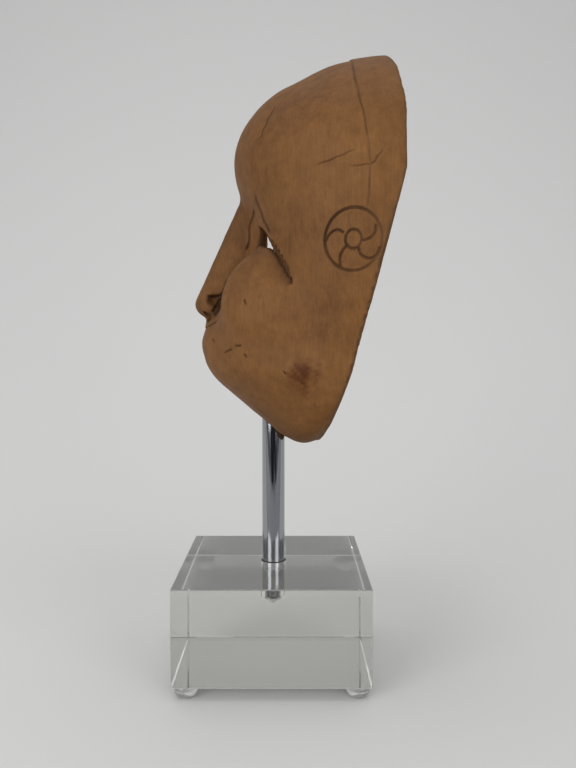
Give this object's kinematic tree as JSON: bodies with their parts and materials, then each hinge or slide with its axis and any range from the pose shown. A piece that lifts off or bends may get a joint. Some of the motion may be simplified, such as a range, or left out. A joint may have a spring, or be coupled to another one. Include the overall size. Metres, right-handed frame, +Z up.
{
  "type": "carved wooden mask on a rod and clear block",
  "caption": "Hollow carved wooden face mask with arched eye slits and temple rosettes, on a chromed rod in a clear block with domed feet.",
  "frame": {"origin": "on the floor under the feet, at the centre of the whole object's outline seen from above", "axes": "+Z up along the rod; the mask looks along -Y and its own left side is on +X"},
  "size_m": [0.148, 0.1127, 0.3316],
  "materials": {
    "carved_wood": "satin",
    "chromed_steel": "polished",
    "clear_acrylic": "polished",
    "clear_polyurethane": "gloss"
  },
  "bodies": {
    "root": {"mask": "carved_wood", "rod": "chromed_steel", "block": "clear_acrylic", "foot_front_left": "clear_polyurethane", "foot_front_right": "clear_polyurethane", "foot_back_left": "clear_polyurethane", "foot_back_right": "clear_polyurethane"}
  },
  "joints": []
}
